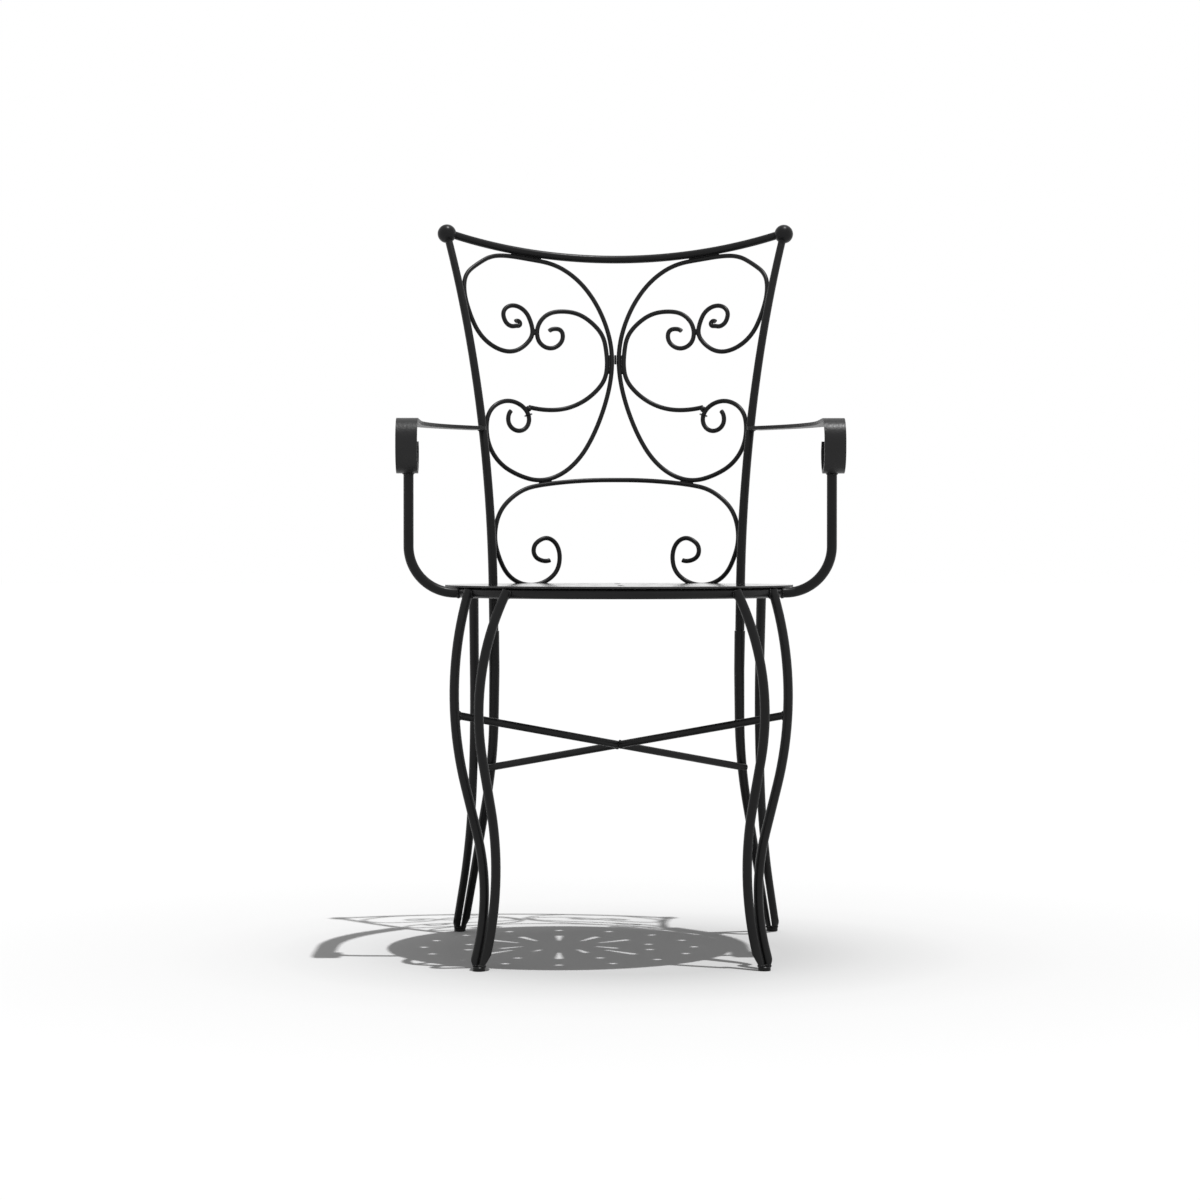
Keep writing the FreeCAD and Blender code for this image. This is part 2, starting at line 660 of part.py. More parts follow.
arm_flat = plan_path.makePipeShell([strip_section(Vector(arm_x, curl_y, arm_level), ACROSS, UP)], True, False)
end_edges = []
for edge in arm_flat.Edges:
    upward = abs(edge.tangentAt(edge.FirstParameter).z) > 0.99
    if upward and spread(edge.CenterOfMass, Part.Vertex(arm_end)) < size("arm_width"):
        end_edges.append(edge)
arm_flat = arm_flat.makeFillet(size("arm_end_round"), end_edges)
curl_bend = size("curl_bend")
curl_drop = size("curl_drop")
curl_inner = size("curl_inner_bend")
curl_tip = size("curl_tip_bend")


def curl_arc(y, z, radius, first, last):
    # an arc in the curl's plane: degrees from straight back, rising over the top
    points = []
    for degrees in (first, (first + last) / 2, last):
        angle = math.radians(degrees)
        points.append(Vector(arm_x, y + radius * math.cos(angle), z + radius * math.sin(angle)))
    return Part.Arc(points[0], points[1], points[2]).toShape(), points[2]


top_arc, curl_front = curl_arc(curl_y, arm_level - curl_bend, curl_bend, 90, 180)
drop_end = curl_front - UP * curl_drop
drop_line = Part.LineSegment(curl_front, drop_end).toShape()
bottom_arc, curl_bottom = curl_arc(curl_y, drop_end.z, curl_bend, 180, 270)
rising_arc, rising_end = curl_arc(curl_y, curl_bottom.z + curl_inner, curl_inner, 270, 360)
tip_last = 360 + size("curl_tip_turn")
tip_arc, tip_end = curl_arc(rising_end.y - curl_tip, rising_end.z, curl_tip, 360, tip_last)
curl_path = Part.Wire([top_arc, drop_line, bottom_arc, rising_arc, tip_arc])
curl_section = strip_section(Vector(arm_x, curl_y, arm_level), ACROSS, UP)
arm_curl = curl_path.makePipeShell([curl_section], True, False)
upright_space = bar(upright_path, upright_base + 2 * gap, upright_tip + 2 * gap)
armrest = largest(arm_flat.fuse(arm_curl).removeSplitter().cut(upright_space))

# The arm post: up from the ring's outside to the underside of the curl.
post_size = size("post_tube")
post_x = arm_x - size("post_inset")
post_y = size("post_y")
post_inner = math.sqrt(ring_radius ** 2 - post_y ** 2)
post_path = bent_path(
    [
        Vector(post_inner, post_y, ring_height),
        Vector(post_x, post_y, ring_height),
        Vector(post_x, post_y, curl_bottom.z + arm_thick),
    ],
    [size("post_bend")])
curl_space_radius = curl_bend + arm_thick / 2 + gap
curl_space = Part.makeCylinder(
    curl_space_radius, 4 * post_size, Vector(post_x - 2 * post_size, curl_y, drop_end.z), ACROSS)
arm_post = largest(bar(post_path, post_size).cut([ring_space, curl_space]))

# The whole chair is set back so that the bounding box is centred on the origin.
rail_back = rail_middle.y + rail_bar
setback = (plate_radius - rail_back) / 2
nodes = []


def piece(name, shape, place):
    # a sub-part whose shape is drawn round its own place in the chair
    shift = FreeCAD.Matrix()
    shift.move(place * -1)
    local = shape.transformed(shift, True)
    feature = doc.addObject("Part::Feature", name)
    feature.Label = name
    feature.Shape = local
    feature.Placement = Placement(place + Vector(0, setback, 0), Rotation())
    nodes.append(feature)


def pair(name, shape, place):
    piece(name + "_right", shape, place)
    piece(name + "_left", mirrored(shape), mirror_point(place))


def origin_item(body, role):
    for item in body.Origin.OriginFeatures:
        if item.Role == role:
            return item


def body_sketch(body, name):
    sketch = body.newObject("Sketcher::SketchObject", name)
    sketch.AttachmentSupport = (origin_item(body, "XY_Plane"), [""])
    sketch.MapMode = "FlatFace"
    return sketch


def centred_circle(sketch, radius, formula):
    sketch.addGeometry(Part.Circle(MIDDLE, UP, radius), False)
    sketch.addConstraint(Sketcher.Constraint("Coincident", 0, 3, -1, 1))
    number = sketch.addConstraint(Sketcher.Constraint("Radius", 0, radius))
    sketch.setExpression("Constraints[%d]" % number, formula)


# The seat disc: a pad, a ring of round holes, and the inner motif.
plate = doc.addObject("PartDesign::Body", "seat_plate")
plate.Label = "seat_plate"
plate_outline = body_sketch(plate, "plate_outline")
centred_circle(plate_outline, plate_radius, "sizes.seat_diameter / 2")
plate_pad = plate.newObject("PartDesign::Pad", "plate_sheet")
plate_pad.Profile = plate_outline
plate_pad.setExpression("Length", "sizes.plate_thickness")
doc.recompute()
rim_edges = []
for number, edge in enumerate(plate_pad.Shape.Edges):
    if hasattr(edge.Curve, "Radius"):
        rim_edges.append("Edge%d" % (number + 1))
rim_round = plate.newObject("PartDesign::Fillet", "rim_round")
rim_round.Base = (plate_pad, rim_edges)
rim_round.setExpression("Radius", "sizes.plate_edge_round")
hole_sketch = body_sketch(plate, "rim_hole")
hole_reach = size("rim_hole_reach")
hole_sketch.addGeometry(Part.Circle(Vector(0, hole_reach, 0), UP, size("rim_hole_size") / 2), False)
hole_sketch.addConstraint(Sketcher.Constraint("PointOnObject", 0, 3, -2))
reach_rule = hole_sketch.addConstraint(Sketcher.Constraint("DistanceY", -1, 1, 0, 3, hole_reach))
hole_sketch.setExpression("Constraints[%d]" % reach_rule, "sizes.rim_hole_reach")
hole_rule = hole_sketch.addConstraint(Sketcher.Constraint("Radius", 0, size("rim_hole_size") / 2))
hole_sketch.setExpression("Constraints[%d]" % hole_rule, "sizes.rim_hole_size / 2")
hole_pocket = plate.newObject("PartDesign::Pocket", "rim_hole_cut")
hole_pocket.Profile = hole_sketch
hole_pocket.Type = 1
hole_pocket.Reversed = True
hole_ring = plate.newObject("PartDesign::PolarPattern", "rim_holes")
hole_ring.Originals = [hole_pocket]
hole_ring.Axis = (origin_item(plate, "Z_Axis"), [""])
hole_ring.Angle = 360
plate.Tip = hole_ring
hole_ring.setExpression("Occurrences", "sizes.rim_hole_count")
doc.recompute()

motif_sketch = body_sketch(plate, "motif")
motif_step = 360 / size("motif_count")
motif_reach = size("motif_reach")
slot_wide = size("slot_wide") / 2
slot_narrow = size("slot_narrow") / 2


def seat_point(degrees, radius):
    # degrees from the back of the seat
    angle = math.radians(degrees)
    return Vector(radius * math.sin(angle), radius * math.cos(angle), 0)


def slot(inner, outer, wide):
    # a tapered slot with round ends: two arcs joined by their common tangents
    axis = outer - inner
    lean = (wide - slot_narrow) / axis.Length
    axis.normalize()
    side = Vector(-axis.y, axis.x, 0)
    tilt = math.sqrt(1 - lean * lean)
    left = side * tilt - axis * lean
    right = side * -tilt - axis * lean
    motif_sketch.addGeometry(Part.LineSegment(inner + left * slot_narrow, outer + left * wide), False)
    motif_sketch.addGeometry(Part.Arc(outer + left * wide, outer + axis * wide, outer + right * wide), False)
    motif_sketch.addGeometry(Part.LineSegment(outer + right * wide, inner + right * slot_narrow), False)
    motif_sketch.addGeometry(
        Part.Arc(inner + right * slot_narrow, inner - axis * slot_narrow, inner + left * slot_narrow), False)


def both_sides(inner, outer, wide):
    slot(inner, outer, wide)
    slot(Vector(-inner.x, inner.y, 0), Vector(-outer.x, outer.y, 0), wide)


# Angles of the slanted slots' inner and outer ends, in degrees from the back of the seat.
SIDE_SLOT = (118, 126.5)
OUTER_SHORT_SLOT = (85, 99.4)
INNER_SHORT_SLOT = (139, 148)
motif_start = size("motif_start")
short_wide = size("short_slot_wide") / 2
short_reach = motif_start + slot_wide
slot(seat_point(0, motif_start), seat_point(0, motif_reach - slot_wide), slot_wide)
for position in (1, 2):
    turn = position * motif_step
    both_sides(seat_point(turn, motif_start), seat_point(turn, motif_reach - slot_wide), slot_wide)
slot(seat_point(180, size("front_slot_start")), seat_point(180, motif_reach - slot_wide), slot_wide)
both_sides(seat_point(SIDE_SLOT[0], motif_start), seat_point(SIDE_SLOT[1], motif_reach), slot_wide)
both_sides(
    seat_point(OUTER_SHORT_SLOT[0], short_reach * 2 / 3),
    seat_point(OUTER_SHORT_SLOT[1], short_reach), short_wide)
both_sides(
    seat_point(INNER_SHORT_SLOT[0], short_reach / 2),
    seat_point(INNER_SHORT_SLOT[1], short_reach - 2 * slot_wide), short_wide)
for position in (3, 4, 6):
    for turn in (position * motif_step, -position * motif_step):
        place = seat_point(turn, motif_reach + slot_wide / 2)
        motif_sketch.addGeometry(Part.Circle(place, UP, slot_wide), False)
motif_cut = plate.newObject("PartDesign::Pocket", "motif_cut")
motif_cut.Profile = motif_sketch
motif_cut.Type = 1
motif_cut.Reversed = True
plate.Tip = motif_cut
plate.Placement = Placement(Vector(0, setback, plate_under), Rotation())
nodes.append(plate)

ring = doc.addObject("Part::Torus", "seat_ring")
ring.Label = "seat_ring"
ring.setExpression("Radius1", "sizes.seat_diameter / 2 - sizes.ring_inset - sizes.ring_tube / 2")
ring.setExpression("Radius2", "sizes.ring_tube / 2")
ring.Placement = Placement(Vector(0, setback, ring_height), Rotation())
nodes.append(ring)


# Foot discs, one body each.
def foot(name, x, y):
    body = doc.addObject("PartDesign::Body", name)
    body.Label = name
    sketch = body_sketch(body, name + "_outline")
    centred_circle(sketch, size("foot_size") / 2, "sizes.foot_size / 2")
    pad = body.newObject("PartDesign::Pad", name + "_pad")
    pad.Profile = sketch
    pad.setExpression("Length", "sizes.foot_height")
    doc.recompute()
    edges = []
    for number, edge in enumerate(pad.Shape.Edges):
        if hasattr(edge.Curve, "Radius"):
            edges.append("Edge%d" % (number + 1))
    chamfer = body.newObject("PartDesign::Chamfer", name + "_edge")
    chamfer.Base = (pad, edges)
    chamfer.setExpression("Size", "sizes.foot_edge")
    body.Tip = chamfer
    body.Placement = Placement(Vector(x, y + setback, 0), Rotation())
    nodes.append(body)


foot("foot_front_right", front_x, front_y)
foot("foot_front_left", -front_x, front_y)
foot("foot_rear_right", rear_x, rear_y)
foot("foot_rear_left", -rear_x, rear_y)

front_foot_place = Vector(front_x, front_y, foot_top)
rear_foot_place = Vector(rear_x, rear_y, foot_top)
pair("front_leg_outer", front_outer, front_foot_place)
pair("front_leg_inner", front_inner, front_foot_place)
pair("rear_leg_outer", rear_outer, rear_foot_place)
pair("rear_leg_inner", rear_inner, rear_foot_place)
crossing = (mirror_point(stretcher_front) + stretcher_rear) / 2
piece("stretcher_through", through_rod, crossing)
piece("stretcher_half_front", half_rods[0], crossing)
piece("stretcher_half_rear", half_rods[-1], crossing)
pair("back_upright", upright, upright_foot)
pair("ball", ball, ball_centre)
piece("top_rail", top_rail, rail_middle)
pair("tall_scroll", tall_scroll, tall_points[-1])
pair("inner_scroll", inner_scroll, inner_points[0])
piece("lower_scroll", lower_scroll, lower_middle)
pair("scroll_collar", collar, collar_centre)
pair("armrest", armrest, Vector(arm_x, curl_y, arm_level))
pair("arm_post", arm_post, Vector(post_x, post_y, ring_height))

# The short piece that fills the gap where the tall scrolls meet.
spacer_place = on_panel(0, upper_point(0, SPACER_RISE).z)
spacer = doc.addObject("Part::Cylinder", "scroll_spacer")
spacer.Label = "scroll_spacer"
spacer.setExpression("Radius", "sizes.spacer_width / 2 - sizes.weld_gap")
spacer.setExpression("Height", "sizes.spacer_height")
lean = on_panel(0, spacer_place.z + 1) - on_panel(0, spacer_place.z - 1)
lean.normalize()
spacer_turn = Rotation(UP, lean)
spacer_base = spacer_place - lean * (size("spacer_height") / 2)
spacer.Placement = Placement(spacer_base + Vector(0, setback, 0), spacer_turn)
nodes.append(spacer)
doc.recompute()

os.makedirs("parts", exist_ok=True)
for node in nodes:
    if "Invalid" in node.State or "Error" in node.State:
        raise RuntimeError(node.Label + " did not compute")
    if node.Shape.isNull() or not node.Shape.isValid():
        raise RuntimeError(node.Label + " has no valid shape")
    node.Shape.exportStep("parts/%s.step" % node.Label)
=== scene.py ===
"""Garden armchair of bent round bar, dressed for its photograph: metres, +Z up, the front faces -Y."""

import math

import bmesh
import bpy
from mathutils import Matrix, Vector
from mathutils.bvhtree import BVHTree


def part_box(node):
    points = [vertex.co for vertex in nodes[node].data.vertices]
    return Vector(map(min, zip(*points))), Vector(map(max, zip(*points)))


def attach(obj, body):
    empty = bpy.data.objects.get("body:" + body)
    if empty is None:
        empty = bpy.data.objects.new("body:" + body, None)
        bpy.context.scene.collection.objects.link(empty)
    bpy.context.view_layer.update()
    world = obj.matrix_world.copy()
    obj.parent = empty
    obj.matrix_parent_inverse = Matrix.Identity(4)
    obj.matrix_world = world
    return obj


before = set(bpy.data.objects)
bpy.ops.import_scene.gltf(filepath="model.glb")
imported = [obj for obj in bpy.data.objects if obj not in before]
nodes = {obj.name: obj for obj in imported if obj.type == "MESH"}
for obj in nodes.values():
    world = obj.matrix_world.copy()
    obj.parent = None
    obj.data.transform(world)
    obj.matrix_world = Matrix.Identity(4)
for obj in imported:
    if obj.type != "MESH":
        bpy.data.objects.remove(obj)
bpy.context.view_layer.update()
collection = bpy.context.scene.collection

SEAT_CENTRE_Y = (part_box("seat_ring")[0][1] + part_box("seat_ring")[1][1]) / 2
SEAT_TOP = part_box("seat_plate")[1][2]


class NodeMaker:
    """Adds nodes to a tree by short calls: an input takes a constant or another node's output."""

    def __init__(self, tree):
        self.tree = tree

    def feed(self, socket, value):
        if isinstance(value, bpy.types.NodeSocket):
            self.tree.links.new(value, socket)
        else:
            socket.default_value = value

    def node(self, kind, settings=None, **inputs):
        made = self.tree.nodes.new(kind)
        for key, value in (settings or {}).items():
            setattr(made, key, value)
        for key, value in inputs.items():
            self.feed(made.inputs[key.replace("_", " ")], value)
        return made

    def numbered(self, kind, operation, *values):
        """A node whose inputs share a name, so that they are fed by their places."""
        made = self.node(kind, {"operation": operation})
        for socket, value in zip(made.inputs, values):
            self.feed(socket, value)
        return made

    def math(self, operation, first, second):
        return self.numbered("ShaderNodeMath", operation, first, second).outputs["Value"]


class MaterialMaker(NodeMaker):
    """The nodes of one material, patterned in the object's own coordinates."""

    def __init__(self, name):
        self.material = bpy.data.materials.new(name)
        self.material.use_nodes = True
        super().__init__(self.material.node_tree)
        self.tree.nodes.clear()
        self.place = self.node("ShaderNodeTexCoord").outputs["Object"]

    def noise(self, scale, detail, roughness):
        return self.node("ShaderNodeTexNoise", Vector=self.place, Scale=scale, Detail=detail,
                         Roughness=roughness).outputs["Fac"]

    def distance(self, centre):
        return self.numbered("ShaderNodeVectorMath", "DISTANCE", self.place, centre).outputs["Value"]

    def between(self, value, source, low, high):
        """Turns a range of values into another."""
        return self.node("ShaderNodeMapRange", Value=value, From_Min=source[0], From_Max=source[1],
                         To_Min=low, To_Max=high).outputs["Result"]

    def ramp(self, value, stops):
        made = self.node("ShaderNodeValToRGB", Fac=value)
        elements = made.color_ramp.elements
        while len(elements) < len(stops):
            elements.new(0.5)
        for element, (position, colour) in zip(elements, stops):
            element.position = position
            element.color = (*colour, 1)
        return made.outputs["Color"]

    def bump(self, height, strength, depth, **under):
        return self.node("ShaderNodeBump", Height=height, Strength=strength, Distance=depth,
                         **under).outputs["Normal"]

    def finish(self, shader):
        self.node("ShaderNodeOutputMaterial", Surface=shader.outputs["BSDF"])
        return self.material


# Powder coat. Noise is given as scale, detail and roughness, bump as depth in metres.
BLACK_DEEP = (0.0070, 0.0070, 0.0073)
BLACK_SOFT = (0.0105, 0.0105, 0.0109)
CLOUD_NOISE = (18, 3, 0.5)
PEBBLE_NOISE = (330, 2, 0.5)
GRAIN_NOISE = (850, 3, 0.55)
NOISE_RANGE = (0.30, 0.70)
PEBBLE_DEPTH = 0.0004
GRAIN_DEPTH = 0.0002
GRAIN_SHARE = 0.6
RIM_BAND = (0.2088, 0.2094)
RIM_ROUGHNESS = 0.5


def powder_coat(name, roughness_range, bump_strength, specular, matt_rim=False):
    """Baked black powder coat: a fine pebbled grain and faint cloudiness, and matt on the seat's rim."""
    make = MaterialMaker(name)
    cloud = make.noise(*CLOUD_NOISE)
    grain = make.noise(*GRAIN_NOISE)
    pebble = make.noise(*PEBBLE_NOISE)
    colour = make.ramp(cloud, list(zip(NOISE_RANGE, (BLACK_DEEP, BLACK_SOFT))))
    roughness = make.between(pebble, NOISE_RANGE, *roughness_range)
    if matt_rim:
        from_centre = make.distance((0, SEAT_CENTRE_Y, SEAT_TOP))
        rim = make.between(from_centre, RIM_BAND, 0.0, RIM_ROUGHNESS)
        roughness = make.math("ADD", roughness, rim)
    normal = make.bump(pebble, bump_strength, PEBBLE_DEPTH)
    normal = make.bump(grain, bump_strength * GRAIN_SHARE, GRAIN_DEPTH, Normal=normal)
    return make.finish(make.node(
        "ShaderNodeBsdfPrincipled", Base_Color=colour, Roughness=roughness, Normal=normal,
        Specular_IOR_Level=specular))


bar_coat = powder_coat("bar_powder_coat", (0.28, 0.40), 0.10, 0.16)
flat_bar_coat = powder_coat("flat_bar_powder_coat", (0.34, 0.44), 0.55, 0.26)
seat_coat = powder_coat("seat_powder_coat", (0.07, 0.12), 0.04, 0.5, matt_rim=True)
weld_coat = powder_coat("weld_powder_coat", (0.28, 0.42), 0.35, 0.20)

for name, node in nodes.items():
    coat = bar_coat
    if name == "seat_plate":
        coat = seat_coat
    if name.startswith("armrest"):
        coat = flat_bar_coat
    for spot in node.material_slots:
        spot.material = coat


# Weld seams: each is the line on one bar at a small distance from the piece that it is welded to.
MERGE_DISTANCE = 1e-6
CUT_TOLERANCE = 1e-7
BOX_MARGIN = 1e-5
SEARCH_REACH = 3
REFINING_ROUNDS = 10
FINEST_EDGE = 0.8
surfaces = {}


def surface(name):
    """A piece's closed shell, and a tree of its faces to find the nearest point on it."""
    if name not in surfaces:
        shell = bmesh.new()
        shell.from_mesh(nodes[name].data)
        bmesh.ops.remove_doubles(shell, verts=shell.verts, dist=MERGE_DISTANCE)
        surfaces[name] = (shell, BVHTree.FromBMesh(shell))
    return surfaces[name]


def crop(shell, low, high):
    """The part of a shell inside a box, cut clean at the box's sides."""
    part = shell.copy()
    for axis in range(3):
        for limit, sign in ((low, -1), (high, 1)):
            facing = Vector((0, 0, 0))
            facing[axis] = sign
            bmesh.ops.bisect_plane(
                part, geom=part.verts[:] + part.edges[:] + part.faces[:], dist=CUT_TOLERANCE,
                plane_co=limit, plane_no=facing, clear_outer=True)
    bmesh.ops.triangulate(part, faces=part.faces[:])
    return part


def narrow(part, tree, away):
    """Refines a shell where it comes near the mate, drops the rest, and measures what is left."""
    for _ in range(REFINING_ROUNDS):
        gaps = {vert: tree.find_nearest(vert.co)[3] for vert in part.verts}
        far = []
        for face in part.faces:
            longest = max(edge.calc_length() for edge in face.edges)
            if min(gaps[vert] for vert in face.verts) - longest > away:
                far.append(face)
        bmesh.ops.delete(part, geom=far, context="FACES")
        long_edges = [edge for edge in part.edges if edge.calc_length() > FINEST_EDGE * away]
        if not long_edges:
            break
        bmesh.ops.subdivide_edges(part, edges=long_edges, cuts=1)
        bmesh.ops.triangulate(part, faces=part.faces[:])
    return {vert: tree.find_nearest(vert.co)[3] - away for vert in part.verts}


def weld_seam(bar, mate, away, heights, points, edges):
    """Adds the line on bar that runs at a distance away from mate, between two heights."""
    shell, _ = surface(bar)
    _, tree = surface(mate)
    low, high = (Vector(corner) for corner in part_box(bar))
    mate_low, mate_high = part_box(mate)
    low.z, high.z = max(low.z, heights[0]), min(high.z, heights[1])
    for axis in range(3):
        low[axis] = max(low[axis], mate_low[axis] - SEARCH_REACH * away) - BOX_MARGIN
        high[axis] = min(high[axis], mate_high[axis] + SEARCH_REACH * away) + BOX_MARGIN
        if low[axis] >= high[axis]:
            return
    part = crop(shell, low, high)
    gaps = narrow(part, tree, away)
    made = {}
    for face in part.faces:
        ends = []
        for edge in face.edges:
            first, second = edge.verts
            if (gaps[first] < 0) == (gaps[second] < 0):
                continue
            if edge not in made:
                share = gaps[first] / (gaps[first] - gaps[second])
                place = first.co.lerp(second.co, share)
                made[edge] = len(points)
                points.append((place + tree.find_nearest(place)[0]) / 2)
            ends.append(made[edge])
        if len(ends) == 2:
            edges.append(tuple(ends))
    part.free()


# Weld beads, laid along the seams by one node tree.
BEAD_INPUTS = {
    "Bead size": "NodeSocketFloat", "Bead pitch": "NodeSocketFloat", "Unevenness": "NodeSocketFloat",
    "Seed": "NodeSocketInt", "Coat": "NodeSocketMaterial"}
BEAD_SEGMENTS = 8
BEAD_RINGS = 6
BEAD_LENGTH = 0.72
LEAST_GAP = 0.75
UNEVENNESS = 0.16


def bead_tree():
    """Overlapping beads laid along every line of a mesh."""
    tree = bpy.data.node_groups.new("weld_bead_rows", "GeometryNodeTree")
    tree.interface.new_socket("Geometry", in_out="INPUT", socket_type="NodeSocketGeometry")
    for label, kind in BEAD_INPUTS.items():
        tree.interface.new_socket(label, in_out="INPUT", socket_type=kind)
    tree.interface.new_socket("Geometry", in_out="OUTPUT", socket_type="NodeSocketGeometry")
    make = NodeMaker(tree)
    given = make.node("NodeGroupInput").outputs
    lines = make.node("GeometryNodeMeshToCurve", Mesh=given["Geometry"])
    places = make.node("GeometryNodeCurveToPoints", {"mode": "LENGTH"},
                       Curve=lines.outputs["Curve"], Length=given["Bead pitch"])
    least_gap = make.math("MULTIPLY", given["Bead pitch"], LEAST_GAP)
    apart = make.node("GeometryNodeMergeByDistance", Geometry=places.outputs["Points"], Distance=least_gap)
    bead = make.node("GeometryNodeMeshUVSphere", Segments=BEAD_SEGMENTS, Rings=BEAD_RINGS, Radius=1.0)
    spread = make.node("FunctionNodeRandomValue", {"data_type": "FLOAT"}, Seed=given["Seed"])
    make.feed(spread.inputs[2], make.math("SUBTRACT", 1.0, given["Unevenness"]))
    make.feed(spread.inputs[3], make.math("ADD", 1.0, given["Unevenness"]))
    radius = make.math("MULTIPLY", spread.outputs[1], given["Bead size"])
    length = make.math("MULTIPLY", radius, BEAD_LENGTH)
    shape = make.node("ShaderNodeCombineXYZ", X=radius, Y=radius, Z=length)
    laid = make.node("GeometryNodeInstanceOnPoints", Points=apart.outputs["Geometry"],
                     Instance=bead.outputs["Mesh"], Rotation=places.outputs["Rotation"],
                     Scale=shape.outputs["Vector"])
    solid = make.node("GeometryNodeRealizeInstances", Geometry=laid.outputs["Instances"])
    smooth = make.node("GeometryNodeSetShadeSmooth", Geometry=solid.outputs["Geometry"])
    coated = make.node("GeometryNodeSetMaterial", Geometry=smooth.outputs["Geometry"], Material=given["Coat"])
    make.node("NodeGroupOutput", Geometry=coated.outputs["Geometry"])
    return tree


def bead_piece(name, tree, points, edges, size, pitch, seed):
    """The beads of a set of seams as one plain mesh."""
    lines = bpy.data.meshes.new(name + "_lines")
    lines.from_pydata(points, edges, [])
    maker = bpy.data.objects.new(name + "_maker", lines)
    collection.objects.link(maker)
    modifier = maker.modifiers.new("beads", "NODES")
    modifier.node_group = tree
    values = {"Bead size": size, "Bead pitch": pitch, "Unevenness": UNEVENNESS, "Seed": seed,
              "Coat": weld_coat}
    for item in tree.interface.items_tree:
        if item.in_out == "INPUT" and item.name in values:
            modifier[item.identifier] = values[item.name]
    seen = maker.evaluated_get(bpy.context.evaluated_depsgraph_get())
    mesh = bpy.data.meshes.new_from_object(seen)
    mesh.name = name
    maker.modifiers.clear()
    bpy.data.objects.remove(maker)
    piece = bpy.data.objects.new(name, mesh)
    collection.objects.link(piece)
    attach(piece, "root")


def on_both_sides(pairs):
    """Bars and their mates, first on the left and then on the right: a star stands for the side."""
    return [(bar.replace("*", side), mate.replace("*", side))
            for side in ("left", "right") for bar, mate in pairs]


LEG_WELDS = [
    ("stretcher_through", "front_leg_outer_left"), ("stretcher_half_front", "front_leg_outer_right"),
    ("stretcher_through", "rear_leg_inner_right"), ("stretcher_half_rear", "rear_leg_inner_left"),
    ("stretcher_half_front", "stretcher_through"), ("stretcher_half_rear", "stretcher_through"),
    *on_both_sides([
        ("front_leg_outer_*", "seat_ring"), ("front_leg_inner_*", "seat_ring"),
        ("rear_leg_outer_*", "seat_ring"), ("front_leg_outer_*", "foot_front_*"),
        ("front_leg_inner_*", "foot_front_*"), ("rear_leg_outer_*", "foot_rear_*"),
        ("rear_leg_inner_*", "foot_rear_*")])]
ARM_WELDS = on_both_sides([
    ("back_upright_*", "seat_ring"), ("arm_post_*", "seat_ring"), ("arm_post_*", "armrest_*"),
    ("armrest_*", "back_upright_*")])
ROD_WELDS = on_both_sides([
    ("tall_scroll_*", "back_upright_*"), ("tall_scroll_*", "top_rail"), ("tall_scroll_*", "lower_scroll"),
    ("inner_scroll_*", "tall_scroll_*"), ("lower_scroll", "back_upright_*")])
END_WELDS = on_both_sides([("inner_scroll_*", "tall_scroll_*")])

# Each set of beads: name, seams, the seams' distance from the mate, bead radius, pitch, heights, seed.
ALL_HEIGHTS = (0, 1)
SCROLL_END_HEIGHTS = (0.62, 0.70)
BEAD_SETS = [
    ("leg_weld_beads", LEG_WELDS, 0.0011, 0.0015, 0.0017, ALL_HEIGHTS, 3),
    ("arm_weld_beads", ARM_WELDS, 0.0011, 0.0015, 0.0017, ALL_HEIGHTS, 4),
    ("scroll_weld_beads", ROD_WELDS, 0.0009, 0.0011, 0.0013, ALL_HEIGHTS, 5),
    ("scroll_end_welds", END_WELDS, 0.0024, 0.0032, 0.0018, SCROLL_END_HEIGHTS, 7)]

beads = bead_tree()
for name, welds, away, size, pitch, heights, seed in BEAD_SETS:
    points, edges = [], []
    for bar, mate in welds:
        weld_seam(bar, mate, away, heights, points, edges)
    bead_piece(name, beads, points, edges, size, pitch, seed)
for shell, _ in surfaces.values():
    shell.free()


# Stage: pale paper with painted shade under the chair, greyer nearer the seat's centre, by distance from it.
FLOOR_REACH = 40.0
FLOOR_WHITE = 0.90
FLOOR_PAINTED_SHADE = [(0.10, 0.72), (0.20, 0.70), (0.31, 0.832), (0.43, 0.93), (0.55, 0.965), (0.95, 1.0)]


def floor_material():
    make = MaterialMaker("studio_floor")
    stops = [(distance, (FLOOR_WHITE * share,) * 3) for distance, share in FLOOR_PAINTED_SHADE]
    # Painted shade: the floor's colour darkens towards the seat's centre to stand in for the chair's soft
    # shadow.
    white = make.ramp(make.distance((0, SEAT_CENTRE_Y, 0)), stops)
    return make.finish(make.node("ShaderNodeBsdfDiffuse", Color=white))


corners = [(x * FLOOR_REACH, y * FLOOR_REACH, 0) for x, y in ((-1, -1), (1, -1), (1, 1), (-1, 1))]
floor_mesh = bpy.data.meshes.new("floor")
floor_mesh.from_pydata(corners, [], [(0, 1, 2, 3)])
floor_mesh.materials.append(floor_material())
floor = bpy.data.objects.new("floor", floor_mesh)
collection.objects.link(floor)


# Light: white where the sky is seen or mirrored, a weaker fill from it elsewhere, and one far lamp.
WHITE = (1, 1, 1, 1)
SKY_FILL = 0.33
LAMP_STRENGTH = 2.55
LAMP_ANGLE = 0.8
LAMP_SIDE = 0.1637
LAMP_BACK = 0.104

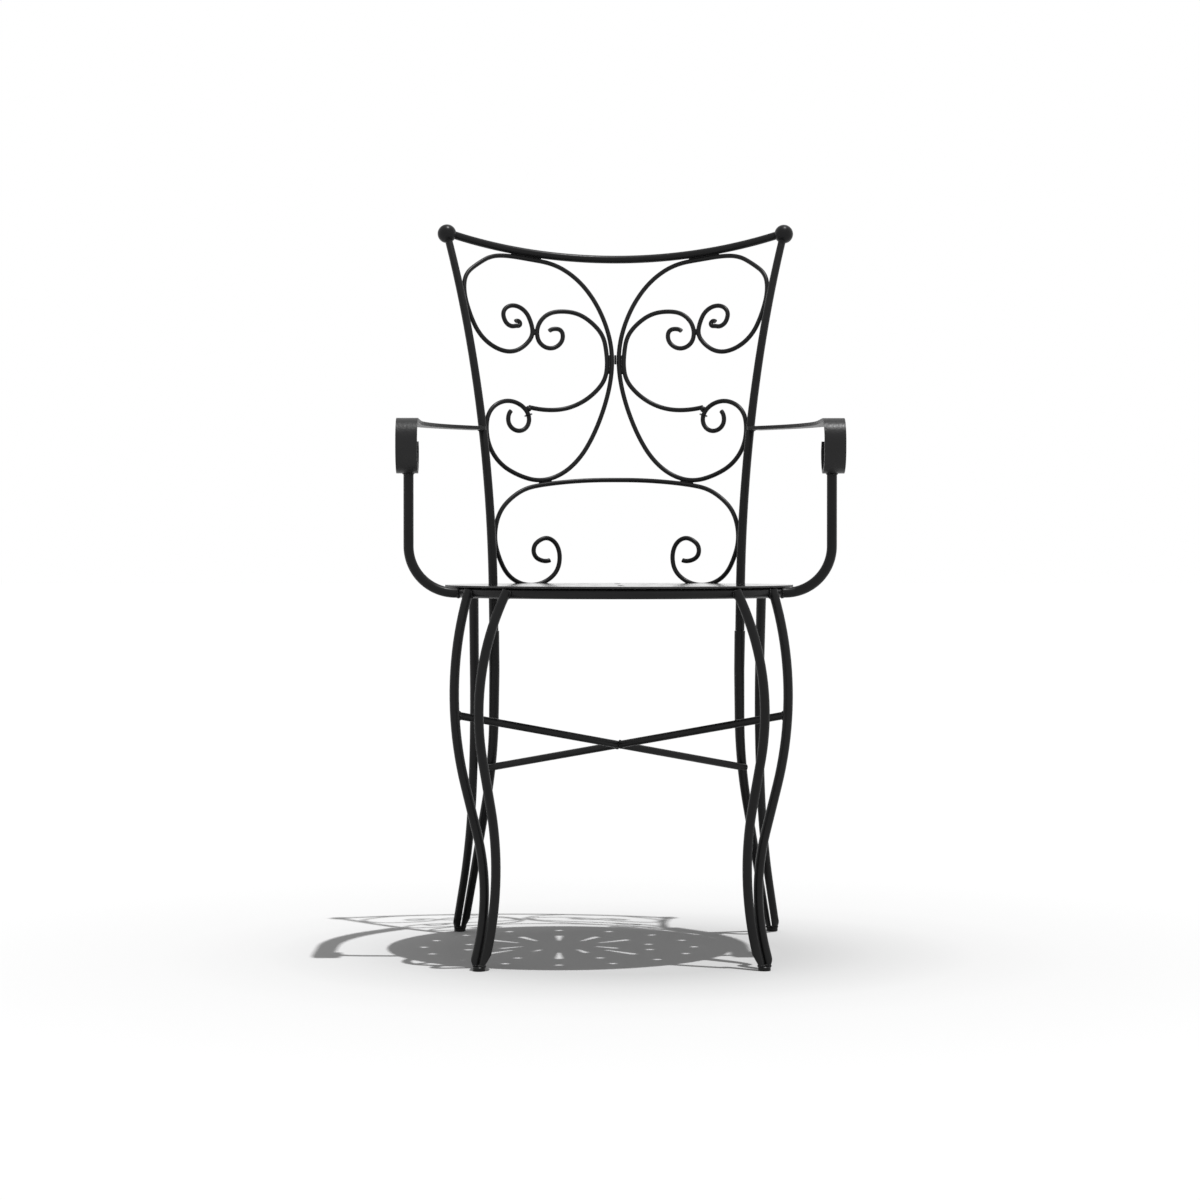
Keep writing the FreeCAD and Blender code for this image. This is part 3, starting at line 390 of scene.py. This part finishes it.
world = bpy.data.worlds.new("studio")
bpy.context.scene.world = world
world.use_nodes = True
world.node_tree.nodes.clear()
sky = NodeMaker(world.node_tree)
ray = sky.node("ShaderNodeLightPath").outputs
seen_ray = sky.math("MAXIMUM", ray["Is Camera Ray"], ray["Is Glossy Ray"])
seen_ray = sky.math("MAXIMUM", seen_ray, ray["Is Transmission Ray"])
fill = sky.node("ShaderNodeBackground", Strength=SKY_FILL, Color=WHITE)
backdrop = sky.node("ShaderNodeBackground", Strength=1.0, Color=WHITE)
mix = sky.node("ShaderNodeMixShader")
for socket, value in zip(mix.inputs, (seen_ray, fill.outputs[0], backdrop.outputs[0])):
    sky.feed(socket, value)
sky.node("ShaderNodeOutputWorld", Surface=mix.outputs[0])

lamp_data = bpy.data.lights.new("lamp", "SUN")
lamp_data.energy = LAMP_STRENGTH
lamp_data.angle = math.radians(LAMP_ANGLE)
lamp = bpy.data.objects.new("lamp", lamp_data)
lamp.rotation_mode = "QUATERNION"
lamp.rotation_quaternion = Vector((-LAMP_SIDE, LAMP_BACK, -1)).to_track_quat("-Z", "Y")
collection.objects.link(lamp)


# Camera: the photograph's place, found from the seat disc and the feet.
CAMERA_DISTANCE = 3.740
CAMERA_HEIGHT = 0.4864
CAMERA_SIDE = 0.0255
CAMERA_TURN = 0.012
CAMERA_PITCH = math.atan(50 / 3095)
CAMERA_LENS = 92.85
CAMERA_SHIFT = 2 / 1200
turn = math.asin(CAMERA_TURN)
to_right = Vector((math.cos(turn), -math.sin(turn), 0))
ahead = Vector((math.sin(turn), math.cos(turn), 0))
aim = Vector((0, SEAT_CENTRE_Y, CAMERA_HEIGHT))
look = ahead * math.cos(CAMERA_PITCH) - Vector((0, 0, math.sin(CAMERA_PITCH)))
camera_data = bpy.data.cameras.new("camera")
camera_data.sensor_width = 36.0
camera_data.lens = CAMERA_LENS
camera_data.shift_x = CAMERA_SHIFT
camera_data.clip_start = 0.1
camera_data.clip_end = 200.0
camera = bpy.data.objects.new("camera", camera_data)
camera.location = aim - to_right * CAMERA_SIDE - ahead * CAMERA_DISTANCE
camera.rotation_mode = "QUATERNION"
camera.rotation_quaternion = look.to_track_quat("-Z", "Y")
collection.objects.link(camera)
bpy.context.scene.camera = camera

bpy.context.scene.view_settings.view_transform = "Standard"
